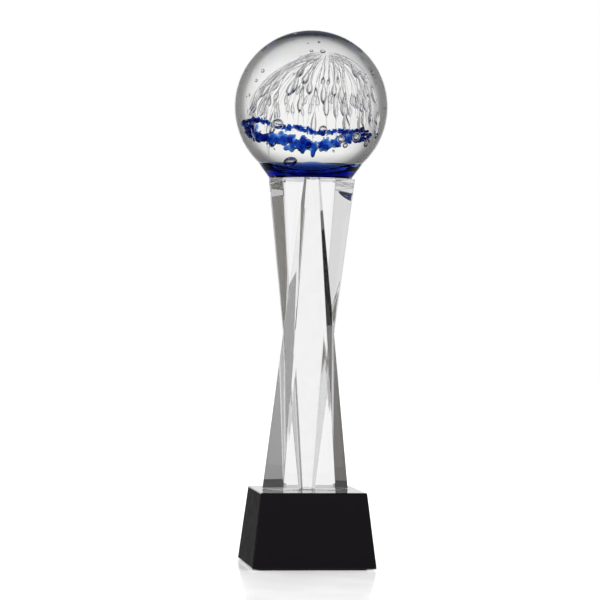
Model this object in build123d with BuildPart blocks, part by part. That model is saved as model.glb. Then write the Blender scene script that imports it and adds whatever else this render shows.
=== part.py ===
"""Column trophy: a black glass base, a crystal column of two tapered prisms and an art-glass ball.

Millimetres, +Z up, the front faces -Y. The origin is the middle of the underside, where the trophy rests.
The pieces stand on one upright axis and are held together by thin films of cured clear adhesive.
"""

from build123d import *

import math
import os

# Base: a block of black glass, square in plan, narrower at the top.
base_width_bottom = 64.2
base_width_top = 55.0
base_height = 38.6
base_arris = 0.6  # polished flat on every edge of the block

# Foam pad stuck under the base.
pad_thickness = 0.6
pad_inset = 4.0  # from the bottom edge of the block to the edge of the pad
pad_corner_radius = 3.0

# Column: two equal prisms, head to tail, cut from clear optical crystal. Each has a trapezium section, a wide
# face on the bond and a narrower outer face, and tapers from its wide end to its narrow end.
column_height = 161.5
wide_end_width = 45.4  # on the bond
wide_end_face_width = 26.6  # on the outer face, before its long edges are bevelled
wide_end_depth = 16.0  # from the bond to the outer face
narrow_end_width = 8.6
outer_edge_bevel = 1.0  # taken off each face beside the two long edges of the outer face

# Ball: art glass, a sphere that runs into a bevelled foot. All drops are below the ball's centre.
ball_diameter = 80.0
shoulder_drop = 29.5  # where the foot leaves the sphere
foot_rim_width = 49.8
foot_rim_drop = 32.6
foot_width = 42.6
foot_drop = 37.4
crown_drop = 26.0  # top of the cobalt layer, on the axis

# Inside the ball: a round core of clear glass on the cobalt layer, with a ring of blue chips set into it.
core_diameter = 46.0
core_sink = 1.5  # from the crown down to where the core's lowest point would be
ring_thickness = 5.2
ring_height = 9.0
ring_drop = 8.5
ring_sink = 1.8  # from the core's surface in to the middle of the ring

# Adhesive films.
film_thickness = 0.1

# Heights of the stack, from the surface that the trophy stands on.
base_bottom_z = pad_thickness
base_top_z = base_bottom_z + base_height
column_bottom_z = base_top_z + film_thickness
column_top_z = column_bottom_z + column_height
column_middle_z = (column_bottom_z + column_top_z) / 2
ball_foot_z = column_top_z + film_thickness
ball_centre_z = ball_foot_z + foot_drop

# The side facets are flat, so the narrow end's section has the wide end's angles at a smaller size.
taper = narrow_end_width / wide_end_width
narrow_end_face_width = wide_end_face_width * taper
narrow_end_depth = wide_end_depth * taper

# The bond leans, so that the column's outer faces are upright and both its ends are centred on the axis.
bond_y_bottom = (wide_end_depth - narrow_end_depth) / 2
bond_y_top = -bond_y_bottom
bond_tilt = math.atan2(bond_y_bottom - bond_y_top, column_height)
film_depth = film_thickness / math.cos(bond_tilt)  # the film's thickness measured level

# A bevel point lies this far from its corner, across the side facet.
facet_angle = math.atan2(wide_end_depth, (wide_end_width - wide_end_face_width) / 2)
bevel_across = outer_edge_bevel * math.cos(facet_angle)
bevel_in = outer_edge_bevel * math.sin(facet_angle)


def section(bond_y, outward, width, face_width, depth):
    """Corners of a prism's level section, from its left bond corner round by its right bond corner.

    outward is -1 for the front prism and 1 for the rear one.
    """
    face_y = bond_y + outward * depth
    bevel_y = face_y - outward * bevel_in
    return [
        (-width / 2, bond_y),
        (width / 2, bond_y),
        (face_width / 2 + bevel_across, bevel_y),
        (face_width / 2 - outer_edge_bevel, face_y),
        (-face_width / 2 + outer_edge_bevel, face_y),
        (-face_width / 2 - bevel_across, bevel_y),
    ]


def wide_section(middle_y, outward):
    """A prism's wide end. The prism starts half a film away from middle_y."""
    bond_y = middle_y + outward * film_depth / 2
    return section(bond_y, outward, wide_end_width, wide_end_face_width, wide_end_depth)


def narrow_section(middle_y, outward):
    """A prism's narrow end. The prism starts half a film away from middle_y."""
    bond_y = middle_y + outward * film_depth / 2
    return section(bond_y, outward, narrow_end_width, narrow_end_face_width, narrow_end_depth)


def end_outline(wide, narrow):
    """Outline of one end of the column: the wide section, the edge of the film and the narrow section."""
    wide_left, wide_right, *wide_rest = wide
    narrow_left, narrow_right, *narrow_rest = narrow
    film_right = (narrow_right[0], wide_right[1])
    film_left = (narrow_left[0], wide_left[1])
    right_side = [wide_right, film_right, narrow_right]
    left_side = [narrow_left, film_left, wide_left]
    return right_side + narrow_rest + left_side + wide_rest[::-1]


# --- base ---------------------------------------------------------------------------------------------------

pad_width = base_width_bottom - 2 * pad_inset
with BuildPart() as base_pad:
    with BuildSketch(Plane.XY):
        RectangleRounded(pad_width, pad_width, pad_corner_radius)
    extrude(amount=pad_thickness)

with BuildPart() as base_block:
    with BuildSketch(Plane.XY.offset(base_bottom_z)):
        Rectangle(base_width_bottom, base_width_bottom)
    with BuildSketch(Plane.XY.offset(base_top_z)):
        Rectangle(base_width_top, base_width_top)
    loft(ruled=True)
    chamfer(base_block.edges(), base_arris)

# --- column -------------------------------------------------------------------------------------------------

front_bottom = wide_section(bond_y_bottom, -1)
front_top = narrow_section(bond_y_top, -1)
rear_bottom = narrow_section(bond_y_bottom, 1)
rear_top = wide_section(bond_y_top, 1)

with BuildPart() as column_bond:
    with BuildSketch(Plane.XY.offset(base_top_z)):
        Polygon(*end_outline(front_bottom, rear_bottom), align=None)
    extrude(amount=film_thickness)

with BuildPart() as front_prism:
    with BuildSketch(Plane.XY.offset(column_bottom_z)):
        Polygon(*front_bottom, align=None)
    with BuildSketch(Plane.XY.offset(column_top_z)):
        Polygon(*front_top, align=None)
    loft(ruled=True)

with BuildPart() as rear_prism:
    with BuildSketch(Plane.XY.offset(column_bottom_z)):
        Polygon(*rear_bottom, align=None)
    with BuildSketch(Plane.XY.offset(column_top_z)):
        Polygon(*rear_top, align=None)
    loft(ruled=True)

# The film between the prisms covers what their bond faces share: narrow at both ends, widest halfway up.
crossing_width = (wide_end_width + narrow_end_width) / 2
film_levels = [
    (column_bottom_z, narrow_end_width, bond_y_bottom),
    (column_middle_z, crossing_width, (bond_y_bottom + bond_y_top) / 2),
    (column_top_z, narrow_end_width, bond_y_top),
]
with BuildPart() as prism_bond:
    for height, width, middle_y in film_levels:
        with BuildSketch(Plane.XY.offset(height)):
            with Locations((0, middle_y)):
                Rectangle(width, film_depth)
    loft(ruled=True)

# --- ball ---------------------------------------------------------------------------------------------------

with BuildPart() as ball_bond:
    with BuildSketch(Plane.XY.offset(column_top_z)):
        Polygon(*end_outline(rear_top, front_top), align=None)
        Circle(foot_width / 2, mode=Mode.INTERSECT)
    extrude(amount=film_thickness)

# Half sections, right of the axis: x is the radius and y is the height above the ground.
ball_radius = ball_diameter / 2
ball_top = (0, ball_centre_z + ball_radius)
crown = (0, ball_centre_z - crown_drop)
shoulder = (math.sqrt(ball_radius**2 - shoulder_drop**2), ball_centre_z - shoulder_drop)
foot_profile = [
    (0, ball_foot_z),
    (foot_width / 2, ball_foot_z),
    (foot_rim_width / 2, ball_centre_z - foot_rim_drop),
    shoulder,
]

with BuildSketch() as ball_section:
    with BuildLine():
        Polyline(ball_top, *foot_profile)
        ThreePointArc(shoulder, (ball_radius, ball_centre_z), ball_top)
    make_face()

with BuildSketch() as cobalt_section:
    with BuildLine():
        Polyline(crown, *foot_profile)
        TangentArc(crown, shoulder, tangent=(1, 0))
    make_face()

core_radius = core_diameter / 2
core_bottom = (0, crown[1] - core_sink)
core_centre_z = core_bottom[1] + core_radius
core_top = (0, core_centre_z + core_radius)

ring_z = ball_centre_z - ring_drop
ring_middle_radius = math.sqrt(core_radius**2 - (core_centre_z - ring_z) ** 2) - ring_sink
with BuildSketch() as ring_section:
    with Locations((ring_middle_radius, ring_z)):
        SlotOverall(ring_height, ring_thickness, rotation=90)

# The core gives way to the cobalt layer that it stands on, and to the ring.
with BuildSketch() as core_section:
    with BuildLine():
        Line(core_bottom, core_top)
        ThreePointArc(core_top, (core_radius, core_centre_z), core_bottom)
    make_face()
    add(cobalt_section.sketch, mode=Mode.SUBTRACT)
    add(ring_section.sketch, mode=Mode.SUBTRACT)

with BuildPart() as cobalt_foot:
    with BuildSketch(Plane.XZ):
        add(cobalt_section.sketch)
    revolve(axis=Axis.Z)

with BuildPart() as frit_ring:
    with BuildSketch(Plane.XZ):
        add(ring_section.sketch)
    revolve(axis=Axis.Z)

with BuildPart() as ball_core:
    with BuildSketch(Plane.XZ):
        add(core_section.sketch)
    revolve(axis=Axis.Z)

with BuildPart() as ball_casing:
    with BuildSketch(Plane.XZ):
        add(ball_section.sketch)
        add(cobalt_section.sketch, mode=Mode.SUBTRACT)
        add(core_section.sketch, mode=Mode.SUBTRACT)
        add(ring_section.sketch, mode=Mode.SUBTRACT)
    revolve(axis=Axis.Z)

# --- files --------------------------------------------------------------------------------------------------

os.makedirs("parts", exist_ok=True)

base_pad.part.label = "base_pad"
export_step(base_pad.part, "parts/base_pad.step")

base_block.part.label = "base_block"
export_step(base_block.part, "parts/base_block.step")

column_bond.part.label = "column_bond"
export_step(column_bond.part, "parts/column_bond.step")

front_prism.part.label = "front_prism"
export_step(front_prism.part, "parts/front_prism.step")

prism_bond.part.label = "prism_bond"
export_step(prism_bond.part, "parts/prism_bond.step")

rear_prism.part.label = "rear_prism"
export_step(rear_prism.part, "parts/rear_prism.step")

ball_bond.part.label = "ball_bond"
export_step(ball_bond.part, "parts/ball_bond.step")

cobalt_foot.part.label = "cobalt_foot"
export_step(cobalt_foot.part, "parts/cobalt_foot.step")

ball_core.part.label = "ball_core"
export_step(ball_core.part, "parts/ball_core.step")

frit_ring.part.label = "frit_ring"
export_step(frit_ring.part, "parts/frit_ring.step")

ball_casing.part.label = "ball_casing"
export_step(ball_casing.part, "parts/ball_casing.step")
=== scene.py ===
"""Looks of the column trophy: cut crystal, art glass and a black glass base in a pale studio.

Every size is in millimetres in the classes below and becomes metres when a mesh is made. Places come
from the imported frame: +Z is up, -Y is the front and the origin is the middle of the underside.
"""

import logging
import math
from collections.abc import Sequence
from dataclasses import dataclass
from enum import Enum

import bmesh
import bpy
import numpy as np
from mathutils import Matrix, Vector


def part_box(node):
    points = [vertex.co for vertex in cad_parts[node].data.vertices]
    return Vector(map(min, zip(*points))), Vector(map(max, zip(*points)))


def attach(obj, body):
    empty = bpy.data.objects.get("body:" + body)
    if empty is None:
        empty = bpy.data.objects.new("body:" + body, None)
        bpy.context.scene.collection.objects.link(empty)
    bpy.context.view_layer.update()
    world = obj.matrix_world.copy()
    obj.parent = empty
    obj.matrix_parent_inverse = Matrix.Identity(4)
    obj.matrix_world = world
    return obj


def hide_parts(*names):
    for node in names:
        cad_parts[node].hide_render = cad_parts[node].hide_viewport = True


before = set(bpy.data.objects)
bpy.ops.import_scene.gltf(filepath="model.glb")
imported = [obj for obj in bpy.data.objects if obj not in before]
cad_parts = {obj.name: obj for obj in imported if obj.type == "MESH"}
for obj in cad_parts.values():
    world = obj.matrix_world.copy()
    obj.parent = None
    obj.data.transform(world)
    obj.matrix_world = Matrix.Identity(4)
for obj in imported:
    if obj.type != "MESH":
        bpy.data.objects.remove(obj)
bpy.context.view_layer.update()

log = logging.getLogger("trophy")
Tree = bpy.types.NodeTree
Socket = bpy.types.NodeSocket
Material = bpy.types.Material
Levels = tuple[tuple[float, float], ...]
MM = 0.001
CLEAR_GLASS_IOR = 1.52
FULL_TURN = 2.0 * np.pi
NOISE_MIDDLE = (0.35, 0.65)  # where nearly all of a soft noise lies
EDGE_ANGLE_DEG = 20.0  # an edge sharper than this gets an arris
ARRIS_SEGMENTS = 2


class Slot(Enum):
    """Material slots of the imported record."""

    CRYSTAL = "optical_crystal"
    CLEAR = "clear_art_glass"
    COBALT = "cobalt_glass"
    FRIT = "blue_frit"
    BLACK = "black_glass"


# --- small tools ----------------------------------------------------------------------------------


def linear(hex_colour: str) -> tuple[float, float, float, float]:
    """Turns an sRGB hex colour into linear RGBA.

    Args:
        hex_colour: Colour as "#RRGGBB".

    Returns:
        Linear red, green, blue and an alpha of 1.
    """
    channels = np.array([int(hex_colour[i : i + 2], 16) for i in (1, 3, 5)]) / 255.0
    curved = np.where(channels <= 0.04045, channels / 12.92, ((channels + 0.055) / 1.055) ** 2.4)
    return (*(float(c) for c in curved), 1.0)


def add_node(
    tree: Tree,
    kind: str,
    values: dict | None = None,
    links: dict | None = None,
    **settings: object,
) -> bpy.types.Node:
    """Adds a node with its settings, its socket values and its incoming links.

    Args:
        tree: Node tree that gets the node.
        kind: Node type, such as "ShaderNodeTexNoise".
        values: Input socket names or numbers and their constant values.
        links: Input socket names or numbers and the output sockets that feed them.
        **settings: Attributes of the node itself.

    Returns:
        The new node.
    """
    node = tree.nodes.new(kind)
    for name, value in settings.items():
        setattr(node, name, value)
    for name, value in (values or {}).items():
        node.inputs[name].default_value = value
    for name, socket in (links or {}).items():
        tree.links.new(socket, node.inputs[name])
    return node


def box_mm(node: str) -> tuple[np.ndarray, np.ndarray]:
    """Lowest and highest corners of a CAD node, in millimetres."""
    low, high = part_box(node)
    return np.array(low) / MM, np.array(high) / MM


def grid_faces(rows: int, columns: int, closed: bool) -> np.ndarray:
    """Quads of a grid of vertices numbered row by row.

    Args:
        rows: Number of rows of vertices.
        columns: Number of vertices in a row.
        closed: Whether each row closes on itself.

    Returns:
        Vertex numbers, four to a face. They turn so that the face looks along (next column) x (next
        row).
    """
    last = columns if closed else columns - 1
    row, column = np.meshgrid(np.arange(rows - 1), np.arange(last), indexing="ij")
    here = row * columns + column
    beside = row * columns + (column + 1) % columns
    return np.stack([here, beside, beside + columns, here + columns], axis=-1).reshape(-1, 4)


def make_piece(
    name: str,
    vertices_mm: np.ndarray,
    faces: list,
    materials: list[Material],
    slot_numbers: np.ndarray | None = None,
    smooth_below_deg: float | None = None,
) -> bpy.types.Object:
    """Makes a mesh object at the origin.

    Args:
        name: Name of the object and its mesh.
        vertices_mm: Vertex places in millimetres, one row each.
        faces: Vertex numbers of each face.
        materials: The object's materials, slot by slot.
        slot_numbers: Slot of each face, or None for the first slot all over.
        smooth_below_deg: Edges flatter than this are smooth. None leaves every face flat.

    Returns:
        The new object.
    """
    mesh = bpy.data.meshes.new(name)
    mesh.from_pydata((vertices_mm * MM).tolist(), [], faces)
    for material in materials:
        mesh.materials.append(material)
    if slot_numbers is not None:
        mesh.polygons.foreach_set("material_index", np.asarray(slot_numbers, np.int32))
    if smooth_below_deg is not None:
        mesh.polygons.foreach_set("use_smooth", np.ones(len(mesh.polygons), bool))
        mesh.set_sharp_from_angle(angle=math.radians(smooth_below_deg))
    mesh.update()
    piece = bpy.data.objects.new(name, mesh)
    bpy.context.scene.collection.objects.link(piece)
    log.info("%s: %d faces", name, len(mesh.polygons))
    return piece


def arris(piece: bpy.types.Object, width_mm: float) -> None:
    """Rounds a cut block's edges off a little, as the polisher does. The first material covers them.

    Args:
        piece: The block.
        width_mm: Width of the polished arris.
    """
    bevel = piece.modifiers.new("arris", "BEVEL")
    bevel.width = width_mm * MM
    bevel.segments = ARRIS_SEGMENTS
    bevel.limit_method = "ANGLE"
    bevel.angle_limit = math.radians(EDGE_ANGLE_DEG)
    bevel.material = 0


def revolve(radii: np.ndarray, heights: np.ndarray, turns: int) -> tuple[np.ndarray, list]:
    """Turns a profile about the axis into a closed surface.

    Vertex (i, j) lies at radius i, height i and angle j. The first and last profile points lie on the
    axis and become single poles. The profile runs upwards along the outside, so that faces look
    outwards.

    Args:
        radii: Radius of each profile point: one number, or a row with one number for each angle.
        heights: Height of each profile point, in the same form.
        turns: Number of angles.

    Returns:
        Vertices and faces.
    """
    angles = np.linspace(0.0, FULL_TURN, turns, endpoint=False)
    radii = np.broadcast_to(radii.reshape(len(radii), -1), (len(radii), turns))
    heights = np.broadcast_to(heights.reshape(len(heights), -1), (len(heights), turns))
    rings = np.stack([radii * np.cos(angles), radii * np.sin(angles), heights], axis=-1)[1:-1]
    count = len(rings)
    poles = np.array([[0.0, 0.0, heights[0].mean()], [0.0, 0.0, heights[-1].mean()]])
    vertices = np.concatenate([rings.reshape(-1, 3), poles])
    here = np.arange(turns)
    beside = (here + 1) % turns
    low_pole, high_pole = count * turns, count * turns + 1
    low_fan = np.stack([np.full(turns, low_pole), beside, here], axis=-1)
    top = (count - 1) * turns
    high_fan = np.stack([np.full(turns, high_pole), top + here, top + beside], axis=-1)
    return vertices, grid_faces(count, turns, True).tolist() + low_fan.tolist() + high_fan.tolist()


def ball_surface(latitudes: int, turns: int) -> tuple[np.ndarray, list]:
    """A ball of radius 1: its profile is (cos t, sin t), with t from -90 to 90 degrees.

    Args:
        latitudes: Number of profile points.
        turns: Number of angles.

    Returns:
        Vertices and faces.
    """
    steps = np.linspace(-np.pi / 2.0, np.pi / 2.0, latitudes)
    return revolve(np.cos(steps), np.sin(steps), turns)


def face_outwards(piece: bpy.types.Object) -> None:
    """Turns the faces of closed shells outwards.

    Args:
        piece: The piece, whose mesh is changed.
    """
    work = bmesh.new()
    work.from_mesh(piece.data)
    bmesh.ops.recalc_face_normals(work, faces=work.faces)
    work.to_mesh(piece.data)
    work.free()


def melt(piece: bpy.types.Object, voxel_mm: float, smoothings: int) -> None:
    """Joins a piece's overlapping shells into one smooth skin, as heat does.

    Args:
        piece: The piece, whose mesh is replaced.
        voxel_mm: Size of the smallest detail that is kept.
        smoothings: How many times the skin is smoothed.
    """
    remesh = piece.modifiers.new("melt", "REMESH")
    remesh.mode = "VOXEL"
    remesh.voxel_size = voxel_mm * MM
    soften = piece.modifiers.new("soften", "SMOOTH")
    soften.iterations = smoothings
    depsgraph = bpy.context.evaluated_depsgraph_get()
    melted = bpy.data.meshes.new_from_object(piece.evaluated_get(depsgraph))
    materials = list(piece.data.materials)
    piece.modifiers.clear()
    piece.data = melted
    melted.materials.clear()
    for material in materials:
        melted.materials.append(material)
    melted.polygons.foreach_set("use_smooth", np.ones(len(melted.polygons), bool))
    melted.update()
    log.info("%s: %d faces once melted", piece.name, len(melted.polygons))


def dress(node: str, material: Material) -> None:
    """Gives a CAD node a new finish.

    Args:
        node: The node's name.
        material: Its new finish.
    """
    mesh = bpy.data.objects[node].data
    mesh.materials.clear()
    mesh.materials.append(material)


# --- finishes -------------------------------------------------------------------------------------


@dataclass(frozen=True)
class Finish:
    """A material: what it is made of and how its surface was made."""

    name: str

    def make(self) -> Material:
        """Makes the material from the finish's own shader.

        Returns:
            The new material.
        """
        material = bpy.data.materials.new(self.name)
        material.use_nodes = True
        tree = material.node_tree
        tree.nodes.clear()
        add_node(tree, "ShaderNodeOutputMaterial", links=self.shade(tree))
        return material

    def shade(self, tree: Tree) -> dict[str, Socket]:
        """Adds the finish's nodes. Each finish has its own.

        Args:
            tree: The material's node tree.

        Returns:
            What goes into each socket of the material's output.
        """
        raise NotImplementedError

    @staticmethod
    def uneven(tree: Tree, grain_mm: float, low: float, high: float, detail: float = 2.0) -> Socket:
        """A value that varies softly over the piece, in patches of a real size.

        Args:
            tree: The material's node tree.
            grain_mm: Size of the patches.
            low: Lowest value.
            high: Highest value.
            detail: How many finer layers the patches have.

        Returns:
            The value.
        """
        place = add_node(tree, "ShaderNodeTexCoord").outputs["Object"]
        patches = add_node(
            tree,
            "ShaderNodeTexNoise",
            values={"Scale": 1.0 / (grain_mm * MM), "Detail": detail},
            links={"Vector": place},
        )
        ends = {"From Min": NOISE_MIDDLE[0], "From Max": NOISE_MIDDLE[1], "To Min": low, "To Max": high}
        value = add_node(
            tree, "ShaderNodeMapRange", values=ends, links={"Value": patches.outputs["Fac"]}
        )
        return value.outputs["Result"]

    @staticmethod
    def wavy(tree: Tree, grain_mm: float, depth_mm: float, detail: float) -> Socket:
        """A surface with soft waves of a real length and depth.

        Args:
            tree: The material's node tree.
            grain_mm: Length of the waves.
            depth_mm: Their depth.
            detail: How many finer layers they have.

        Returns:
            The surface's normal.
        """
        place = add_node(tree, "ShaderNodeTexCoord").outputs["Object"]
        waves = add_node(
            tree,
            "ShaderNodeTexNoise",
            values={"Scale": 1.0 / (grain_mm * MM), "Detail": detail},
            links={"Vector": place},
        )
        surface = add_node(
            tree,
            "ShaderNodeBump",
            values={"Strength": 1.0, "Distance": depth_mm * MM},
            links={"Height": waves.outputs["Fac"]},
        )
        return surface.outputs["Normal"]


@dataclass(frozen=True)
class ClearGlass(Finish):
    """Colourless glass, cut and polished or fire polished.

    It bends what lies behind it and mirrors the studio at a glance. Its ripple and faint haze tell a
    hand-worked ball from a machine-cut prism.
    """

    ripple_grain_mm: float
    ripple_depth_mm: float
    haze: float
    tint: str
    haze_grain_share: float = 0.4  # of the ripple's grain

    def shade(self, tree: Tree) -> dict[str, Socket]:
        """Clear transmission with a slight ripple, and a haze that comes and goes.

        Args:
            tree: The material's node tree.

        Returns:
            What goes into each socket of the material's output.
        """
        grain = self.ripple_grain_mm
        shader = add_node(
            tree,
            "ShaderNodeBsdfPrincipled",
            values={"Base Color": linear(self.tint), "IOR": CLEAR_GLASS_IOR, "Transmission Weight": 1.0},
            links={
                "Roughness": self.uneven(tree, grain * self.haze_grain_share, 0.0, self.haze),
                "Normal": self.wavy(tree, grain, self.ripple_depth_mm, detail=0.0),
            },
        )
        return {"Surface": shader.outputs[0]}


@dataclass(frozen=True)
class CuredAdhesive(Finish):
    """Clear adhesive, cured under ultraviolet lamps.

    It has the glass's own index, so a bonded face neither bends nor mirrors, and the two pieces look
    like one.
    """

    clearest: str
    dullest: str
    patch_mm: float = 6.0

    def shade(self, tree: Tree) -> dict[str, Socket]:
        """Lets light straight through, with a trace of unevenness in the film.

        Args:
            tree: The material's node tree.

        Returns:
            What goes into each socket of the material's output.
        """
        place = add_node(tree, "ShaderNodeTexCoord").outputs["Object"]
        patches = add_node(
            tree,
            "ShaderNodeTexNoise",
            values={"Scale": 1.0 / (self.patch_mm * MM), "Detail": 2.0},
            links={"Vector": place},
        )
        colour = add_node(
            tree,
            "ShaderNodeMix",
            data_type="RGBA",
            values={6: linear(self.clearest), 7: linear(self.dullest)},
            links={0: patches.outputs["Fac"]},
        )
        shader = add_node(tree, "ShaderNodeBsdfTransparent", links={"Color": colour.outputs[2]})
        return {"Surface": shader.outputs[0]}


@dataclass(frozen=True)
class TrappedAir(Finish):
    """Air sealed in glass: light bends the other way, so a bubble has a dark rim and a bright heart."""

    haze: float
    grain_mm: float = 1.0

    def shade(self, tree: Tree) -> dict[str, Socket]:
        """Air's index over the glass's, because the eye looks from the glass into the air.

        Args:
            tree: The material's node tree.

        Returns:
            What goes into each socket of the material's output.
        """
        shader = add_node(
            tree,
            "ShaderNodeBsdfGlass",
            values={"Color": linear("#FFFFFF"), "IOR": 1.0 / CLEAR_GLASS_IOR},
            links={"Roughness": self.uneven(tree, self.grain_mm, 0.5 * self.haze, self.haze)},
        )
        return {"Surface": shader.outputs[0]}


@dataclass(frozen=True)
class FusedColour(Finish):
    """Coloured glass fused into clear glass.

    The two have nearly the same index, so the joint bends little. The colour deepens with the glass's
    thickness: pale at thin edges and dark where it is thick.
    """

    colour: str
    density: float  # how fast the colour deepens, per metre
    index_step: float = 1.0  # its index over that of the glass around it
    haze: float = 0.01
    grain_mm: float = 1.5

    def shade(self, tree: Tree) -> dict[str, Socket]:
        """Straight transmission with a hazy skin, and absorption through the body.

        Args:
            tree: The material's node tree.

        Returns:
            What goes into each socket of the material's output.
        """
        shader = add_node(
            tree,
            "ShaderNodeBsdfPrincipled",
            values={"Base Color": linear("#FFFFFF"), "IOR": self.index_step, "Transmission Weight": 1.0},
            links={"Roughness": self.uneven(tree, self.grain_mm, 0.0, self.haze)},
        )
        body = add_node(
            tree,
            "ShaderNodeVolumeAbsorption",
            values={"Color": linear(self.colour), "Density": self.density},
        )
        return {"Surface": shader.outputs[0], "Volume": body.outputs[0]}


@dataclass(frozen=True)
class BlackGlass(Finish):
    """Black glass. Polished, it is a dark mirror; finely ground, it takes a soft, weak shine."""

    colour: str
    smoothest: float
    roughest: float
    shine: float
    polish_grain_mm: float = 5.0
    ripple_grain_mm: float = 9.0
    ripple_depth_mm: float = 0.004

    def shade(self, tree: Tree) -> dict[str, Socket]:
        """Near-black body under a surface whose polish varies a little.

        Args:
            tree: The material's node tree.

        Returns:
            What goes into each socket of the material's output.
        """
        polish = self.uneven(tree, self.polish_grain_mm, self.smoothest, self.roughest, detail=4.0)
        waves = self.wavy(tree, self.ripple_grain_mm, self.ripple_depth_mm, detail=1.0)
        shader = add_node(
            tree,
            "ShaderNodeBsdfPrincipled",
            values={
                "Base Color": linear(self.colour),
                "IOR": CLEAR_GLASS_IOR,
                "Specular IOR Level": self.shine,
            },
            links={"Roughness": polish, "Normal": waves},
        )
        return {"Surface": shader.outputs[0]}


@dataclass(frozen=True)
class Foam(Finish):
    """Closed-cell foam sheet, die cut: matt, with cells about half a millimetre across."""

    dark: str
    light: str
    cell_mm: float
    wall_height_mm: float = 0.1
    roughness: float = 0.9

    def shade(self, tree: Tree) -> dict[str, Socket]:
        """Dark foam with paler cell walls that stand a little proud.

        Args:
            tree: The material's node tree.

        Returns:
            What goes into each socket of the material's output.
        """
        place = add_node(tree, "ShaderNodeTexCoord").outputs["Object"]
        cells = add_node(
            tree,
            "ShaderNodeTexVoronoi",
            values={"Scale": 1.0 / (self.cell_mm * MM)},
            links={"Vector": place},
        ).outputs["Distance"]
        colour = add_node(
            tree,
            "ShaderNodeMix",
            data_type="RGBA",
            values={6: linear(self.dark), 7: linear(self.light)},
            links={0: cells},
        )
        walls = add_node(
            tree,
            "ShaderNodeBump",
            values={"Strength": 1.0, "Distance": self.wall_height_mm * MM},
            links={"Height": cells},
        )
        shader = add_node(
            tree,
            "ShaderNodeBsdfPrincipled",
            values={"Roughness": self.roughness},
            links={"Base Color": colour.outputs[2], "Normal": walls.outputs["Normal"]},
        )
        return {"Surface": shader.outputs[0]}


@dataclass(frozen=True)
class PaleSweep(Finish):
    """White acrylic sheet: satin near the trophy, where it mirrors the base softly, then matt."""

    colour: str
    smoothest: float
    roughest: float
    satin_reach_mm: float
    index: float = 1.45
    shine: float = 0.5
    polish_grain_mm: float = 40.0

    def shade(self, tree: Tree) -> dict[str, Socket]:
        """White, with a satin surface that fades with the distance from the middle.

        Args:
            tree: The material's node tree.

        Returns:
            What goes into each socket of the material's output.
        """
        place = add_node(tree, "ShaderNodeTexCoord").outputs["Object"]
        reach = self.satin_reach_mm * MM
        distance = add_node(tree, "ShaderNodeVectorMath", operation="LENGTH", links={0: place})
        shine = add_node(
            tree,
            "ShaderNodeMapRange",
            values={"From Min": 0.5 * reach, "From Max": reach, "To Min": self.shine, "To Max": 0.0},
            links={"Value": distance.outputs["Value"]},
        )
        polish = self.uneven(tree, self.polish_grain_mm, self.smoothest, self.roughest)
        shader = add_node(
            tree,
            "ShaderNodeBsdfPrincipled",
            values={"Base Color": linear(self.colour), "IOR": self.index},
            links={"Roughness": polish, "Specular IOR Level": shine.outputs["Result"]},
        )
        return {"Surface": shader.outputs[0]}


@dataclass(frozen=True)
class MattCard(Finish):
    """Matt card for shading the glass, with no shine at all."""

    colour: str

    def shade(self, tree: Tree) -> dict[str, Socket]:
        """Plain diffuse colour.

        Args:
            tree: The material's node tree.

        Returns:
            What goes into each socket of the material's output.
        """
        shader = add_node(tree, "ShaderNodeBsdfDiffuse", values={"Color": linear(self.colour)})
        return {"Surface": shader.outputs[0]}


# --- base -----------------------------------------------------------------------------------------


@dataclass
class Base:
    """The black glass block and the foam pad under it."""

    bottom_width: float = 64.2
    top_width: float = 55.0
    arris_width: float = 0.55

    def build(self) -> None:
        """Makes the block and dresses the pad."""
        polished = BlackGlass(
            "black_glass_polished", "#0B0B0D", smoothest=0.01, roughest=0.03, shine=1.0
        ).make()
        ground = BlackGlass(
            "black_glass_ground_satin", "#131114", smoothest=0.46, roughest=0.54, shine=0.04
        ).make()
        self.build_block(polished, ground)
        dress("base_pad", Foam("foam_sheet", dark="#141414", light="#2C2C2C", cell_mm=0.5).make())

    def build_block(self, polished: Material, ground: Material) -> None:
        """Makes the block: a square at each end, joined by four flat sides, with polished arrises.

        Args:
            polished: Finish of the ends and the arrises.
            ground: Finish of the sides.
        """
        low, high = box_mm("base_block")
        corners = np.array([[-1.0, -1.0], [1.0, -1.0], [1.0, 1.0], [-1.0, 1.0]]) / 2.0
        bottom = np.column_stack([corners * self.bottom_width, np.full(4, low[2])])
        top = np.column_stack([corners * self.top_width, np.full(4, high[2])])
        here = np.arange(4)
        beside = (here + 1) % 4
        sides = np.stack([here, beside, beside + 4, here + 4], axis=-1).tolist()
        faces = [[3, 2, 1, 0], [4, 5, 6, 7]] + sides
        block = make_piece(
            "black_glass_block",
            np.concatenate([bottom, top]),
            faces,
            [polished, ground],
            slot_numbers=np.array([0, 0, 1, 1, 1, 1]),
        )
        arris(block, self.arris_width)
        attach(block, "root")
        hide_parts("base_block")


# --- column ---------------------------------------------------------------------------------------


class End(Enum):
    """Which way a prism of the column stands."""

    WIDE_END_DOWN = -1
    WIDE_END_UP = 1


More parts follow.
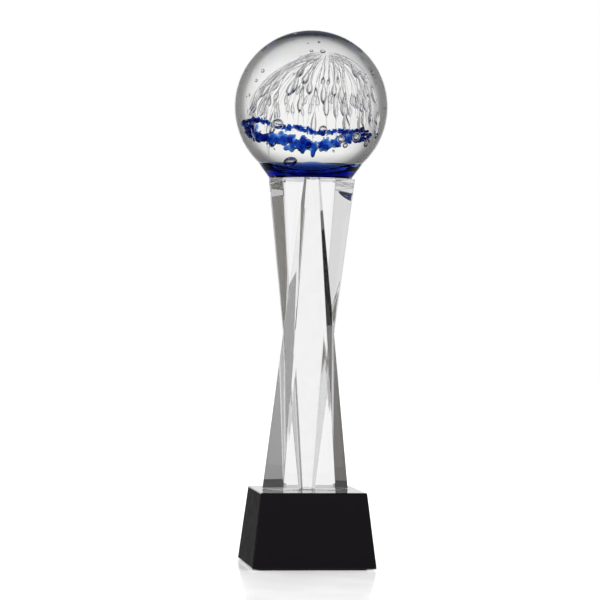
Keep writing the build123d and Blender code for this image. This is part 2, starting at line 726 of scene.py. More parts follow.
@dataclass
class Prism:
    """A tapered prism of the column, wide end down at the front or wide end up at the rear.

    Its level section is a trapezium, wide on the bond and narrow on the outer face, with the outer
    face's long edges bevelled. The narrow end's section is the wide end's at a smaller size, except for
    the bevel.
    """

    node: str
    name: str
    end: End
    wide_width: float = 45.4
    face_width: float = 26.6
    narrow_width: float = 8.6
    edge_bevel: float = 1.0
    arris_width: float = 0.3

    def section(self, scale: float, bond_y: float, face_y: float, height: float) -> np.ndarray:
        """Six corners of a level section: bond left and right, then the outer face, right to left.

        Args:
            scale: Size of the section against the wide end's.
            bond_y: Where the bond is at this height.
            face_y: Where the outer face is.
            height: The section's height.

        Returns:
            One row for each corner.
        """
        bond_half = self.wide_width * scale / 2.0
        face_half = self.face_width * scale / 2.0
        facet = np.array([bond_half - face_half, bond_y - face_y])
        across, back = self.edge_bevel * facet / np.linalg.norm(facet)
        right = [
            [bond_half, bond_y, height],
            [face_half + across, face_y + back, height],
            [face_half - self.edge_bevel, face_y, height],
        ]
        left = [[-x, y, z] for x, y, z in right]
        return np.array([left[0], right[0], right[1], right[2], left[2], left[1]])

    def vertices(self) -> np.ndarray:
        """All corners: the wide section, the narrow section, and the points that divide the bond face.

        The bond face is divided where the other prism's edges cross it: at the wide end, as far out as
        the narrow width, and halfway up, on the face's own edges.

        Returns:
            One row for each corner, numbered as in faces().
        """
        low, high = box_mm(self.node)
        upward = self.end is End.WIDE_END_UP
        face_y, wide_bond_y = (high[1], low[1]) if upward else (low[1], high[1])
        wide_z, narrow_z = (high[2], low[2]) if upward else (low[2], high[2])
        taper = self.narrow_width / self.wide_width
        narrow_bond_y = face_y + (wide_bond_y - face_y) * taper
        wide = self.section(1.0, wide_bond_y, face_y, wide_z)
        narrow = self.section(taper, narrow_bond_y, face_y, narrow_z)
        film = np.array([[side * self.narrow_width / 2.0, wide_bond_y, wide_z] for side in (-1, 1)])
        crossing = (wide[:2] + narrow[:2]) / 2.0
        return np.concatenate([wide, narrow, film, crossing])

    def faces(self) -> tuple[list, list]:
        """Faces and the slot of each: 0 for glass that meets the air, 1 for bonded glass.

        Corners 0 to 5 are the wide section's and 6 to 11 the narrow section's. 12 and 13 lie on the wide
        end's bond edge, and 14 and 15 halfway up the bond face's long edges. The foot is bonded to the
        block. The head is polished, and the ball's foot only stands close above it.

        Returns:
            Corner numbers of each face, and the slots.
        """
        unbonded = [[13, 1, 15], [12, 0, 14]]
        facets = [[1, 2, 8, 7, 15], [0, 5, 11, 6, 14]]
        bevels = [[2, 3, 9, 8], [5, 4, 10, 11]]
        outer = [[3, 4, 10, 9]]
        bond = [12, 13, 15, 7, 6, 14]
        ends = [[12, 13, 1, 2, 3, 4, 5, 0], [6, 7, 8, 9, 10, 11]]
        foot, head = ends if self.end is End.WIDE_END_DOWN else ends[::-1]
        in_air = [*unbonded, *facets, *bevels, *outer, head]
        bonded = [bond, foot]
        return in_air + bonded, [0] * len(in_air) + [1] * len(bonded)

    def build(self, crystal: Material, adhesive: Material) -> None:
        """Makes the prism.

        Args:
            crystal: Finish of the faces that meet the air.
            adhesive: Finish of the faces that are bonded.
        """
        faces, slots = self.faces()
        piece = make_piece(self.name, self.vertices(), faces, [crystal, adhesive], np.array(slots))
        face_outwards(piece)
        arris(piece, self.arris_width)
        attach(piece, "root")
        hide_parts(self.node)


@dataclass
class Column:
    """The two prisms and the films of adhesive that hold the trophy together."""

    films: tuple[str, ...] = ("column_bond", "prism_bond", "ball_bond")

    def build(self, adhesive: Material) -> None:
        """Makes the prisms and dresses the films.

        Args:
            adhesive: Finish of everything that is bonded.
        """
        crystal = ClearGlass(
            "optical_crystal_cut_polished",
            ripple_grain_mm=60.0,
            ripple_depth_mm=0.0006,
            haze=0.004,
            tint="#FEFEFE",
        ).make()
        Prism("front_prism", "crystal_prism_front", End.WIDE_END_DOWN).build(crystal, adhesive)
        Prism("rear_prism", "crystal_prism_rear", End.WIDE_END_UP).build(crystal, adhesive)
        for film in self.films:
            dress(film, adhesive)


# --- ball -----------------------------------------------------------------------------------------


@dataclass
class Ball:
    """The art-glass ball. Drops are below its centre, as in the profile of the CAD ball."""

    radius: float = 40.0
    shoulder_drop: float = 29.5
    rim_radius: float = 24.9
    rim_drop: float = 32.6
    foot_radius: float = 21.3
    foot_drop: float = 37.4
    crown_drop: float = 26.0
    core_radius: float = 23.0
    core_drop: float = 4.5
    turns: int = 288
    sphere_steps: int = 120
    foot_steps: tuple[int, ...] = (6, 8, 6)  # on the flat, up the bevel, and on to the shoulder
    smooth_below_deg: float = 25.0
    cobalt_inset: float = 0.25
    crown_steps: int = 40
    crown_sink: float = 0.6  # of the crown's edge, below the shoulder
    # Of the crown's waves: how many around, height and turn.
    crown_waves: tuple[tuple[float, float, float], ...] = (
        (6.0, 0.88, 3.4),
        (3.0, 0.4, 1.0),
        (11.0, 0.24, 0.0),
    )

    def centre(self) -> np.ndarray:
        """The ball's centre: one radius below the top of its casing."""
        return np.array([0.0, 0.0, box_mm("ball_casing")[1][2] - self.radius])

    def shoulder_radius(self) -> float:
        """Radius where the foot leaves the sphere."""
        return math.sqrt(self.radius**2 - self.shoulder_drop**2)

    def foot_profile(self, inset: float) -> tuple[np.ndarray, np.ndarray]:
        """Outline of the foot, from the axis out along its flat, up its bevel and on to the shoulder.

        Args:
            inset: How far inside the ball's own surface the outline lies.

        Returns:
            Radii and heights from the ball's centre.
        """
        flat, bevel, shoulder = self.foot_radius, self.rim_radius, self.shoulder_radius()
        corner_radii = [0.0, flat - inset, bevel - inset, shoulder - inset]
        corner_drops = [self.foot_drop - inset, self.foot_drop - inset, self.rim_drop, self.shoulder_drop]
        stretches = [
            np.linspace(number, number + 1.0, steps, endpoint=False)
            for number, steps in enumerate(self.foot_steps)
        ]
        stations = np.concatenate(stretches)
        corners = np.arange(len(corner_radii))
        return np.interp(stations, corners, corner_radii), -np.interp(stations, corners, corner_drops)

    def build(self) -> None:
        """Makes the clear ball and the cobalt layer in its foot."""
        self.build_clear()
        self.build_cobalt()

    def build_clear(self) -> None:
        """Makes the ball's outer surface, as one piece of clear glass: foot, then sphere."""
        clear = ClearGlass(
            "art_glass_fire_polished",
            ripple_grain_mm=9.0,
            ripple_depth_mm=0.006,
            haze=0.003,
            tint="#FDFDFC",
        ).make()
        foot_radii, foot_heights = self.foot_profile(0.0)
        start = math.asin(-self.shoulder_drop / self.radius)
        latitudes = np.linspace(start, math.pi / 2.0, self.sphere_steps)
        radii = np.concatenate([foot_radii, self.radius * np.cos(latitudes)])
        heights = np.concatenate([foot_heights, self.radius * np.sin(latitudes)])
        vertices, faces = revolve(radii, heights, self.turns)
        piece = make_piece(
            "art_glass_ball",
            vertices + self.centre(),
            faces,
            [clear],
            smooth_below_deg=self.smooth_below_deg,
        )
        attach(piece, "root")
        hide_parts("ball_casing", "ball_core")

    def build_cobalt(self) -> None:
        """Makes the cobalt layer: the foot's outline, closed by a crown with slow waves around its edge.

        The crown's height is a parabola from the axis to the shoulder, plus a sum of waves
        height cos(count angle + turn) that grow with the square of the radius.
        """
        cobalt = FusedColour("cobalt_glass_fused", "#459CEB", density=150.0).make()
        foot_radii, foot_heights = self.foot_profile(self.cobalt_inset)
        edge = self.shoulder_radius() - self.cobalt_inset
        angles = np.linspace(0.0, FULL_TURN, self.turns, endpoint=False)
        crown_radii = np.linspace(edge, 0.0, self.crown_steps)
        share = (crown_radii / edge)[:, None] ** 2
        fall = self.shoulder_drop - self.crown_drop + self.crown_sink
        waves = sum(height * np.cos(count * angles + turn) for count, height, turn in self.crown_waves)
        crown_heights = -self.crown_drop - fall * share + share * waves
        foot_rows = np.broadcast_to(foot_heights[:, None], (len(foot_heights), self.turns))
        radii = np.concatenate([foot_radii, crown_radii])
        heights = np.concatenate([foot_rows, crown_heights])
        vertices, faces = revolve(radii, heights, self.turns)
        piece = make_piece(
            "cobalt_layer",
            vertices + self.centre(),
            faces,
            [cobalt],
            smooth_below_deg=self.smooth_below_deg,
        )
        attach(piece, "root")
        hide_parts("cobalt_foot")


@dataclass
class FritRing:
    """The ring of crushed blue glass around the core: many chips melted into one another."""

    ball: Ball
    middle_radius: float = 20.6
    middle_aside: float = -1.9
    middle_drop: float = 8.4
    chips: int = 640
    smallest: float = 0.25
    largest: float = 0.95
    least_stretch: float = 0.6
    most_stretch: float = 1.5
    gathering: float = 0.175  # how far the chips gather at the front left and the back right
    outward_spread: float = 0.7
    upward_spread: float = 0.75
    clump_lift: float = 0.6
    clumps: float = 7.0
    side_lift_share: float = 0.35  # of the front's and back's lift
    chip_steps: tuple[int, int] = (7, 8)
    voxel: float = 0.24
    smoothings: int = 3
    seed: int = 11

    def build(self) -> None:
        """Makes the chips as stretched balls strewn about the ring, and melts them by remeshing."""
        draw = np.random.default_rng(self.seed)
        around = draw.uniform(0.0, FULL_TURN, self.chips)
        around += self.gathering * np.sin(2.0 * around)
        size = draw.uniform(self.smallest, self.largest, self.chips)
        lift = draw.normal(0.0, self.upward_spread, self.chips)
        lift += self.clump_lift * np.cos(self.clumps * around + 0.6)
        lift *= self.side_lift_share + (1.0 - self.side_lift_share) * np.sin(around) ** 2
        middles = self.places(around, draw.normal(0.0, self.outward_spread, self.chips), lift)
        unit, unit_faces = ball_surface(*self.chip_steps)
        axes = np.linalg.qr(draw.normal(size=(self.chips, 3, 3)))[0]
        stretch = draw.uniform(self.least_stretch, self.most_stretch, (self.chips, 1, 3))
        shapes = np.einsum("cvi,cij->cvj", unit[None] * stretch, axes) * size[:, None, None]
        vertices = (shapes + middles[:, None, :]).reshape(-1, 3) + self.ball.centre()
        firsts = range(0, self.chips * len(unit), len(unit))
        faces = [[number + first for number in face] for first in firsts for face in unit_faces]
        frit = FusedColour("blue_frit_fused", "#00AAE9", density=2300.0, index_step=1.1).make()
        piece = make_piece("frit_ring_chips", vertices, faces, [frit])
        melt(piece, self.voxel, self.smoothings)
        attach(piece, "root")
        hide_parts("frit_ring")

    def places(self, around: np.ndarray, spread: np.ndarray, lift: np.ndarray) -> np.ndarray:
        """Places in the ring, from the ball's centre.

        The ring's middle is a circle that leans, high at the back and on the left, and bends twice on
        its way: its height is -1.4 cos a + 2.1 sin a + 1.5 cos 2a at the angle a.

        Args:
            around: Angle of each place.
            spread: How far outside the circle each place is.
            lift: How far above the circle each place is.

        Returns:
            One row for each place.
        """
        lean = -1.4 * np.cos(around) + 2.1 * np.sin(around) + 1.5 * np.cos(2.0 * around)
        radius = self.middle_radius + spread
        across = radius * np.cos(around) + self.middle_aside
        return np.column_stack([across, radius * np.sin(around), lean + lift - self.middle_drop])


@dataclass
class BubbleVeil:
    """The veil: threads of air that fan out from the core's top, each swelling into a drop near its end.

    A polar angle is measured at the core's centre, down from straight above. Ranges are of random
    draws.
    """

    ball: Ball
    threads: int = 88
    stations: int = 64
    sides: int = 8
    thread_radius: float = 0.12
    drop_radius: float = 1.1
    drop_size_range: tuple[float, float] = (0.65, 1.1)  # times drop_radius
    drop_length_range: tuple[float, float] = (0.2, 0.3)  # radians of polar angle
    drop_powers: tuple[float, float] = (1.3, 0.8)
    drop_divisor: float = 0.302  # brings the drop's formula, at most 0.248, near a full drop
    drop_above_tier: float = 0.7  # of the drop's length
    tiers_deg: tuple[float, ...] = (50.0, 64.0, 76.0, 88.0)
    tier_odds: tuple[float, ...] = (0.08, 0.27, 0.35, 0.3)
    tier_spread: float = 0.04
    turn_spread: float = 0.03
    first_range: tuple[float, float] = (0.03, 0.16)
    tail_range: tuple[float, float] = (0.16, 0.34)  # of polar angle, beyond the drop
    thread_taper: float = 0.5  # of the thread's radius, at its upper end
    wander: float = 0.06
    wander_waves: float = 4.0  # per radian of polar angle
    depth_range: tuple[float, float] = (-2.2, 0.2)  # above the core's surface
    drop_sink: float = 0.4
    apex_aside: float = 4.5
    end_share: float = 0.004
    end_roundness: float = 4.0
    smooth_below_deg: float = 70.0
    seed: int = 5

    def build(self, air: Material) -> None:
        """Makes the threads as one piece.

        Args:
            air: Finish of the trapped air.
        """
        middle, outward, tube = self.spines()
        vertices = self.tubes(middle, outward, tube).reshape(-1, 3) + self.ball.centre()
        per_thread = self.stations * self.sides
        firsts = np.arange(self.threads) * per_thread
        quads = grid_faces(self.stations, self.sides, True)
        faces = (quads[None] + firsts[:, None, None]).reshape(-1, 4).tolist()
        first_cap = np.arange(self.sides)[::-1]
        last_cap = np.arange(self.sides) + per_thread - self.sides
        for cap in (first_cap, last_cap):
            faces += (cap[None] + firsts[:, None]).tolist()
        piece = make_piece(
            "veil_air_threads", vertices, faces, [air], smooth_below_deg=self.smooth_below_deg
        )
        face_outwards(piece)
        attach(piece, "root")

    def spines(self) -> tuple[np.ndarray, np.ndarray, np.ndarray]:
        """Middles of the threads, along the core's meridians, and how thick the threads are.

        A thread's point lies near the core's surface, at polar angle p and azimuth a. Its radius is the
        thread's own plus a drop, u^1.3 (1 - u)^0.8 over the drop's length u, so a drop is long above
        and short below. The apex is drawn aside by the square of the cosine of p.

        Returns:
            For each thread, one row for each station: places from the ball's centre, directions out of
            the core, and radii.
        """
        draw = np.random.default_rng(self.seed)
        count = self.threads
        azimuth = np.linspace(0.0, FULL_TURN, count, endpoint=False)
        azimuth = azimuth + draw.normal(0.0, self.turn_spread, count)
        tier = np.radians(draw.choice(self.tiers_deg, count, p=self.tier_odds))
        tier = tier + draw.normal(0.0, self.tier_spread, count)
        drop_length = draw.uniform(*self.drop_length_range, count)
        drop_size = draw.uniform(*self.drop_size_range, count) * self.drop_radius
        first = draw.uniform(*self.first_range, count)
        last = tier + draw.uniform(*self.tail_range, count)
        share = np.linspace(0.0, 1.0, self.stations)
        polar = first[:, None] + (last - first)[:, None] * share
        drop_start = tier - self.drop_above_tier * drop_length
        inside = np.clip((polar - drop_start[:, None]) / drop_length[:, None], 0.0, 1.0)
        above, below = self.drop_powers
        swell = inside**above * (1.0 - inside) ** below / self.drop_divisor
        closing = np.sin(np.pi * np.clip(share, self.end_share, 1.0 - self.end_share))
        ends = np.sqrt(np.clip(closing * self.end_roundness, 0.0, 1.0))
        taper = self.thread_taper + (1.0 - self.thread_taper) * share
        tube = (self.thread_radius * taper + swell * drop_size[:, None]) * ends
        sway = draw.uniform(-self.wander, self.wander, count)[:, None]
        phase = draw.uniform(0.0, 6.0, count)[:, None]
        turn = azimuth[:, None] + sway * np.sin(self.wander_waves * polar + phase)
        depth = draw.uniform(*self.depth_range, count)[:, None]
        shell = self.ball.core_radius + depth - self.drop_sink * swell
        level = np.sin(polar)
        outward = np.stack([level * np.cos(turn), level * np.sin(turn), np.cos(polar)], axis=-1)
        middle = outward * shell[..., None] - [0.0, 0.0, self.ball.core_drop]
        middle[..., 0] += self.apex_aside * np.clip(outward[..., 2], 0.0, 1.0) ** 2
        return middle, outward, tube

    def tubes(self, middle: np.ndarray, outward: np.ndarray, tube: np.ndarray) -> np.ndarray:
        """Round sections along the threads.

        Args:
            middle: Each section's middle.
            outward: Direction out of the core at each section.
            tube: Each section's radius.

        Returns:
            Places by thread, section and side.
        """
        tangent = np.gradient(middle, axis=1)
        tangent /= np.linalg.norm(tangent, axis=-1, keepdims=True)
        across = np.cross(tangent, outward)
        across /= np.linalg.norm(across, axis=-1, keepdims=True)
        normal = np.cross(across, tangent)
        angles = np.linspace(0.0, FULL_TURN, self.sides, endpoint=False)[:, None]
        ring = normal[:, :, None] * np.cos(angles) + across[:, :, None] * np.sin(angles)
        return middle[:, :, None] + ring * tube[:, :, None, None]


@dataclass(frozen=True)
class Bubble:
    """A trapped bubble: its middle from the ball's centre, its radius, its stretch and its lean."""

    x: float
    y: float
    z: float
    radius: float
    stretch: float = 1.0
    lean_deg: float = 0.0


@dataclass
class AirBubbles:
    """The single bubbles: the big ones listed, then seed bubbles, strewn widely and among the chips."""

    ball: Ball
    ring: FritRing
    seeds: int = 46
    seed_sizes: tuple[float, float] = (0.12, 0.45)
    seed_reach: tuple[float, float] = (26.0, 36.0)
    seed_rise: float = 1.2  # of a seed's direction, once it is turned upwards
    seed_sink: float = 0.35
    chip_seeds: int = 110
    chip_seed_sizes: tuple[float, float] = (0.15, 0.42)
    outward_spread: float = 0.9
    upward_spread: float = 0.8
    fine_steps: tuple[int, int] = (17, 24)
    coarse_steps: tuple[int, int] = (9, 10)
    smooth_below_deg: float = 60.0
    seed: int = 3
    by_hand: tuple[Bubble, ...] = (
        Bubble(-18.0, -20.0, -9.2, 3.0, 0.85),
        Bubble(2.5, -20.0, -11.1, 2.1),
        Bubble(10.6, -20.0, -15.1, 1.7),
        Bubble(12.9, -18.0, -17.8, 1.35),
        Bubble(17.8, -17.0, -13.7, 2.0),
        Bubble(23.1, -12.0, -16.0, 1.7, 1.2, 20.0),
        Bubble(30.4, -16.3, -14.6, 1.6),
        Bubble(-12.1, -17.0, -27.6, 2.9, 1.35, 55.0),
        Bubble(3.1, -10.0, 22.0, 1.2, 0.85),
        Bubble(-1.5, -10.0, 22.2, 0.85, 0.85),
        Bubble(1.4, -12.0, 27.4, 0.6),
        Bubble(-20.4, -19.0, -21.9, 0.5),
        Bubble(24.0, -8.0, 13.9, 0.9),
        Bubble(15.0, -12.0, 16.4, 0.6),
        Bubble(12.6, -20.0, -0.1, 0.6),
        Bubble(-18.4, 0.0, 13.2, 0.8),
        Bubble(-21.1, 0.0, 9.7, 0.7),
        Bubble(-24.2, 0.0, 4.2, 0.6),
        Bubble(19.0, 0.0, 11.1, 0.9),
        Bubble(16.6, 0.0, 12.1, 0.6),
        Bubble(21.5, 0.0, 7.6, 0.5),
    )

    def build(self, air: Material) -> None:
        """Makes every bubble as a stretched and leaned ball, the strewn ones from fewer faces.

        Args:
            air: Finish of the trapped air.
        """
        draw = np.random.default_rng(self.seed)
        strewn = [*self.strewn_widely(draw), *self.strewn_in_ring(draw)]
        fine_vertices, fine_faces = self.balls(self.by_hand, self.fine_steps)
        coarse_vertices, coarse_faces = self.balls(strewn, self.coarse_steps)
        vertices = np.concatenate([fine_vertices, coarse_vertices]) + self.ball.centre()
        faces = fine_faces + [[number + len(fine_vertices) for number in face] for face in coarse_faces]
        piece = make_piece("air_bubbles", vertices, faces, [air], smooth_below_deg=self.smooth_below_deg)
        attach(piece, "root")

    def strewn_widely(self, draw: np.random.Generator) -> list[Bubble]:
        """Seed bubbles in a shell near the ball's surface, mostly in its upper half.

        Args:
            draw: Source of random numbers.

        Returns:
            The bubbles.
        """
        direction = draw.normal(size=(self.seeds, 3))
        direction /= np.linalg.norm(direction, axis=1, keepdims=True)
        direction[:, 2] = np.abs(direction[:, 2]) * self.seed_rise - self.seed_sink
        reach = draw.uniform(*self.seed_reach, self.seeds) / np.linalg.norm(direction, axis=1)
        places = direction * reach[:, None]
        sizes = draw.uniform(*self.seed_sizes, self.seeds)
        return [Bubble(*place, size) for place, size in zip(places, sizes)]

    def strewn_in_ring(self, draw: np.random.Generator) -> list[Bubble]:
        """Seed bubbles among the chips of the ring.

        Args:
            draw: Source of random numbers.

        Returns:
            The bubbles.
        """
        around = draw.uniform(0.0, FULL_TURN, self.chip_seeds)
        spread = draw.normal(0.0, self.outward_spread, self.chip_seeds)
        places = self.ring.places(around, spread, draw.normal(0.0, self.upward_spread, self.chip_seeds))
        sizes = draw.uniform(*self.chip_seed_sizes, self.chip_seeds)
        return [Bubble(*place, size) for place, size in zip(places, sizes)]

    @staticmethod
    def balls(bubbles: Sequence[Bubble], steps: tuple[int, int]) -> tuple[np.ndarray, list]:
        """Surfaces of some bubbles, from the ball's centre.

        A unit ball is stretched along its height, leaned about the front-to-back axis and moved to its
        place.

        Args:
            bubbles: The bubbles.
            steps: Profile points of each ball, and angles around it.

        Returns:
            Vertices and faces.
        """
        unit, unit_faces = ball_surface(*steps)
        size = np.array([[b.radius, b.radius, b.radius * b.stretch] for b in bubbles])
        places = np.array([[b.x, b.y, b.z] for b in bubbles])
        leans = np.array([Matrix.Rotation(math.radians(b.lean_deg), 3, "Y") for b in bubbles])
        shapes = np.einsum("bvi,bji->bvj", unit[None] * size[:, None], leans) + places[:, None]
        firsts = range(0, len(bubbles) * len(unit), len(unit))
        faces = [[number + first for number in face] for first in firsts for face in unit_faces]
        return shapes.reshape(-1, 3), faces


# --- studio ---------------------------------------------------------------------------------------


@dataclass(frozen=True)
class Card:
    """An upright card beside and behind the column, which puts one tone into a cut facet.

    Its foot and head are level, or its head slopes between the two tops. Its first edge is turned
    further back than its second.
    """

    name: str
    colour: str
    across: tuple[float, float]
    bottom: float
    tops: tuple[float, float]
    depth: float = 62.0

    def build(self) -> None:
        """Makes the card. Only light that has passed through glass meets it."""
        first, second = self.across
        swing = 0.5 * abs(second - first)
        feet = [[first, self.depth + swing, self.bottom], [second, self.depth, self.bottom]]
        heads = [[x, y, top] for (x, y, _), top in zip(feet, self.tops)]
        matt = MattCard(self.name, self.colour).make()
        card = make_piece(self.name, np.array(feet + heads), [[0, 1, 3, 2]], [matt])
        card.visible_camera = False
        card.visible_glossy = False
        card.visible_diffuse = False
        card.visible_shadow = False


@dataclass
class Studio:
    """A pale floor and backdrop, soft lights, cards and the camera.

    The levels pair one part of a direction, from -1 to 1, with the brightness there.
    """

    azimuth_deg: float = -7.87
    elevation_deg: float = 0.06
    roll_deg: float = 0.65
    distance: float = 1463.7
    focal_over_width: float = 4.683
    aim_side: float = -4.67
    aim_height: float = 137.8
    clip_metres: tuple[float, float] = (0.05, 50.0)
    floor_size: float = 6000.0
    light_target_metres: tuple[float, float, float] = (0.0, 0.0, 0.14)
    matt_level: float = 1.25
    levels_by_height: Levels = (
        (-1.0, 0.3),
        (-0.9, 0.12),
        (-0.86, 0.12),
        (-0.82, 0.4),
        (-0.79, 0.72),
        (-0.65, 0.82),
        (-0.5, 0.85),
        (-0.35, 0.95),
        (-0.1, 0.96),
        (0.1, 0.96),
        (0.52, 0.95),
        (0.66, 0.5),
        (0.78, 0.08),
        (1.0, 0.2),
    )
    levels_by_depth: Levels = (
        (-1.0, 0.8),
        (-0.3, 0.6),
        (0.25, 0.15),
        (0.4, 0.15),
        (0.46, 0.22),
        (0.52, 0.24),
        (0.57, 0.32),
        (0.62, 0.44),
        (0.68, 0.75),
        (0.76, 0.93),
        (0.83, 1.0),
        (1.0, 1.0),
    )
    mirror_levels: Levels = (
        (-1.0, 0.2),
        (0.92, 0.2),
        (0.965, 1.12),
        (1.0, 1.12),
    )
    levels_by_side: Levels = (
        (-1.0, 0.8),
        (-0.7, 0.7),
        (-0.5, 0.9),
        (-0.3, 1.0),
        (1.0, 1.0),
    )
    cards: tuple[Card, ...] = (
        Card("black_card_left", "#010101", (-22.0, -48.0), 120.0, (183.0, 183.0)),
        Card("black_card_right", "#010101", (28.5, 40.0), 120.0, (186.0, 186.0)),
        Card("warm_card_right", "#7A7874", (38.0, 74.0), 100.0, (216.0, 216.0), 25.0),
        Card("grey_card_left", "#6E6C6A", (-22.0, -52.0), 4.0, (120.0, 120.0)),
        Card("grey_card_right", "#949393", (28.0, 56.0), 4.0, (96.0, 150.0)),
    )

    def build(self) -> None:
        """Makes the camera, the floor, the lights, the surroundings and the cards."""
        self.build_camera()
        self.build_floor()
        self.build_lights()
        self.build_surroundings()
        for card in self.cards:
            card.build()

    def build_camera(self) -> None:
        """Places the camera on its azimuth and elevation about the aim, and rolls it."""
        azimuth, elevation = math.radians(self.azimuth_deg), math.radians(self.elevation_deg)
        level = math.cos(elevation)
        back = Vector(
            (math.sin(azimuth) * level, -math.cos(azimuth) * level, math.sin(elevation))
        )
        right = Vector((math.cos(azimuth), math.sin(azimuth), 0.0))
        aim = (right * self.aim_side + Vector((0.0, 0.0, self.aim_height))) * MM
        data = bpy.data.cameras.new("camera")
        data.lens = data.sensor_width * self.focal_over_width
        data.clip_start, data.clip_end = self.clip_metres
        camera = bpy.data.objects.new("camera", data)
        up = back.cross(right)
        turned = Matrix((right, up, back)).transposed().to_4x4()
        roll = Matrix.Rotation(math.radians(self.roll_deg), 4, "Z")
        camera.matrix_world = Matrix.Translation(aim + back * self.distance * MM) @ turned @ roll
        bpy.context.scene.collection.objects.link(camera)
        bpy.context.scene.camera = camera

    def build_floor(self) -> None:
        """Makes the floor. Glass doesn't show it, so that the trophy sees the bright backdrop."""
        signs = np.array([[-1.0, -1.0, 0.0], [1.0, -1.0, 0.0], [1.0, 1.0, 0.0], [-1.0, 1.0, 0.0]])
        corners = signs * self.floor_size / 2.0
        sweep = PaleSweep(
            "white_acrylic_satin",
            "#FAFAFA",
            smoothest=0.16,
            roughest=0.2,
            satin_reach_mm=400.0,
        ).make()
        floor = make_piece("floor", corners, [[0, 1, 2, 3]], [sweep])
        floor.visible_transmission = False
        floor.visible_glossy = False

    def build_lights(self) -> None:
        """Hangs soft boxes: a large one overhead and a smaller one each side at the front."""
        self.soft_box("overhead", place=(0.0, -0.2, 1.5), size=(1.4, 1.4), watts=14.0)
        self.soft_box("left", place=(-1.3, -0.9, 0.7), size=(0.5, 1.1), watts=6.0)
        self.soft_box("right", place=(1.4, -0.7, 0.6), size=(0.35, 1.0), watts=3.0)

    def soft_box(
        self, name: str, place: tuple[float, float, float], size: tuple[float, float], watts: float
    ) -> None:
        """Hangs one soft box that faces the trophy.

        Args:
            name: The light's name.
            place: Its middle, in metres.
            size: Its width and height, in metres.
            watts: Its power.
        """
        data = bpy.data.lights.new(name, "AREA")
        data.shape = "RECTANGLE"
        data.size, data.size_y = size
        data.energy = watts
        light = bpy.data.objects.new(name, data)
        light.location = place
        back = Vector(place) - Vector(self.light_target_metres)
        light.rotation_euler = back.to_track_quat("Z", "Y").to_euler()
        light.visible_camera = False
        light.visible_glossy = False
        light.visible_transmission = False
        bpy.context.scene.collection.objects.link(light)

    def build_surroundings(self) -> None:
        """Paints the surroundings: white to the eye and bright to matt things, but not so to the glass.

        To the glass, a direction's brightness is the product of three curves, one over each part of the
        direction: its height, how far it leans to either side, and its depth. The sides and the depth
        are measured from the camera's heading, by turning the direction back through the camera's
        azimuth. It is dark overhead, underfoot and where the depth is middling, and that is what gives
        clear glass its dark rim. What is mirrored is dimmer, except straight behind.
        """
        world = bpy.data.worlds.new("studio")
        bpy.context.scene.world = world
        world.use_nodes = True
        tree = world.node_tree
        tree.nodes.clear()
        direction = add_node(tree, "ShaderNodeTexCoord").outputs["Generated"]
        turned = add_node(
            tree,
            "ShaderNodeVectorRotate",
            rotation_type="Z_AXIS",
            values={"Angle": -math.radians(self.azimuth_deg)},
            links={"Vector": direction},
        )
        parts = add_node(tree, "ShaderNodeSeparateXYZ", links={0: turned.outputs[0]})
        steep = self.level_curve(tree, parts.outputs["Z"], self.levels_by_height)
        aside = self.level_curve(tree, parts.outputs["X"], self.levels_by_side)
        deep = self.level_curve(tree, parts.outputs["Y"], self.levels_by_depth)
        panels = steep
        for curve in (aside, deep):
            links = {0: panels, 1: curve}
            panels = add_node(tree, "ShaderNodeMath", operation="MULTIPLY", links=links).outputs[0]
        path = add_node(tree, "ShaderNodeLightPath")
        dimming = add_node(
            tree,
            "ShaderNodeMix",
            values={"A": 1.0},
            links={
                "Factor": path.outputs["Is Reflection Ray"],
                "B": self.level_curve(tree, parts.outputs["Y"], self.mirror_levels),
            },
        )
        links = {0: panels, 1: dimming.outputs["Result"]}
        panels = add_node(tree, "ShaderNodeMath", operation="MULTIPLY", links=links).outputs[0]
        lit = add_node(
            tree,
            "ShaderNodeMix",
            values={"B": self.matt_level},
            links={"Factor": path.outputs["Is Diffuse Ray"], "A": panels},
        )
        seen = add_node(
            tree,
            "ShaderNodeMix",
            values={"B": 1.0},
            links={"Factor": path.outputs["Is Camera Ray"], "A": lit.outputs["Result"]},
        )
        glow = add_node(tree, "ShaderNodeBackground", links={"Color": seen.outputs["Result"]})
        output = add_node(tree, "ShaderNodeOutputWorld")
        tree.links.new(glow.outputs[0], output.inputs["Surface"])

    @staticmethod
    def level_curve(
        tree: Tree,
        source: Socket,
        levels: Levels,
    ) -> Socket:
        """A brightness that depends on one part of the direction.

        Args:
            tree: The world's node tree.
            source: The part of the direction, from -1 to 1.
            levels: Values of that part, in order, and the brightness at each.

        Returns:
            The brightness.
        """
        share = add_node(tree, "ShaderNodeMapRange", values={"From Min": -1.0}, links={"Value": source})
        curve = add_node(tree, "ShaderNodeValToRGB", links={0: share.outputs["Result"]})
        stops = curve.color_ramp.elements
        while len(stops) < len(levels):
            stops.new(0.5)
        for stop, (part, level) in zip(stops, levels):
            stop.position = (part + 1.0) / 2.0
            stop.color = (level, level, level, 1.0)
        return curve.outputs["Color"]


def set_light_paths() -> None:
    """Lets light pass through many glass surfaces, and shows colours as they are."""
    scene = bpy.context.scene
    scene.cycles.max_bounces = 24
    scene.cycles.transmission_bounces = 24
    scene.cycles.glossy_bounces = 12
    scene.cycles.transparent_max_bounces = 48
    scene.view_settings.view_transform = "Standard"


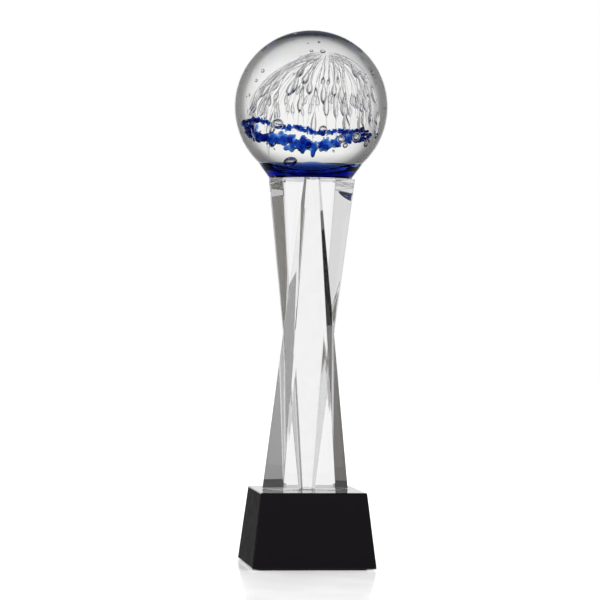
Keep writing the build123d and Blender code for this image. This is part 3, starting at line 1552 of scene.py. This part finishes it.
def main() -> None:
    """Builds the trophy and its studio."""
    logging.basicConfig(level=logging.INFO, format="%(name)s: %(message)s")
    set_light_paths()
    Studio().build()
    adhesive = CuredAdhesive("clear_adhesive_cured", clearest="#FFFFFF", dullest="#FDFDFD").make()
    air = TrappedAir("air_in_bubbles", haze=0.01).make()
    threads = TrappedAir("air_in_drawn_threads", haze=0.06).make()
    Base().build()
    Column().build(adhesive)
    ball = Ball()
    ball.build()
    ring = FritRing(ball)
    ring.build()
    BubbleVeil(ball).build(threads)
    AirBubbles(ball, ring).build(air)


if __name__ == "__main__":
    main()
